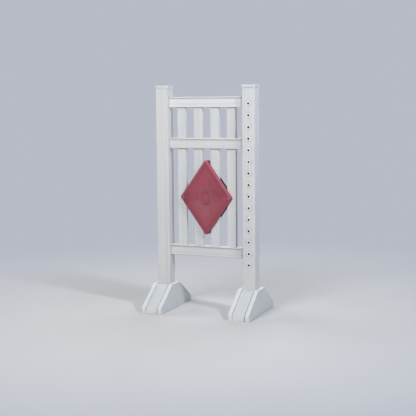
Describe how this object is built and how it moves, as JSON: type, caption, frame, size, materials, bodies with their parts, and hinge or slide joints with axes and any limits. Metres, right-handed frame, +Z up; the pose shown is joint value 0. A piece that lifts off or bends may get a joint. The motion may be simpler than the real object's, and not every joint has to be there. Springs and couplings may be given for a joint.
{
  "type": "show jump wing",
  "caption": "Free-standing show jump wing: white posts, beaded rails and upright slats, clamped rose diamond panels, a post with lined pin holes, and board feet.",
  "frame": {"origin": "on the floor, midway between the posts and between the front and rear toes", "axes": "+Z up; X along the wing, the post with the pin holes at +X; -Y is the front"},
  "size_m": [0.767, 0.498, 1.524],
  "materials": {
    "white_vinyl": "satin extruded vinyl",
    "white_board": "matt plastic board with eased edges",
    "rose_plastic": "matt moulded plastic, dusty red",
    "white_nylon": "smooth moulded nylon",
    "rose_coated_steel": "steel coated to match the diamonds",
    "white_coated_steel": "white coated steel"
  },
  "bodies": {
    "root": {"left_post": "white_vinyl", "right_post": "white_vinyl", "left_post_cap": "white_vinyl", "right_post_cap": "white_vinyl", "top_rail": "white_vinyl", "middle_rail": "white_vinyl", "bottom_rail": "white_vinyl", "slat_1": "white_vinyl", "slat_2": "white_vinyl", "slat_3": "white_vinyl", "slat_4": "white_vinyl", "left_foot_outer_plate": "white_board", "left_foot_inner_plate": "white_board", "left_foot_front_ramp": "white_board", "left_foot_rear_ramp": "white_board", "right_foot_outer_plate": "white_board", "right_foot_inner_plate": "white_board", "right_foot_front_ramp": "white_board", "right_foot_rear_ramp": "white_board", "front_diamond": "rose_plastic", "rear_diamond": "rose_plastic", "pin_sleeves": "white_nylon", "diamond_bolts": "rose_coated_steel", "diamond_sleeve_nuts": "rose_coated_steel", "foot_bolts": "white_coated_steel", "foot_sleeve_nuts": "white_coated_steel", "ramp_screws": "white_coated_steel", "rail_screws": "white_coated_steel"}
  },
  "joints": []
}
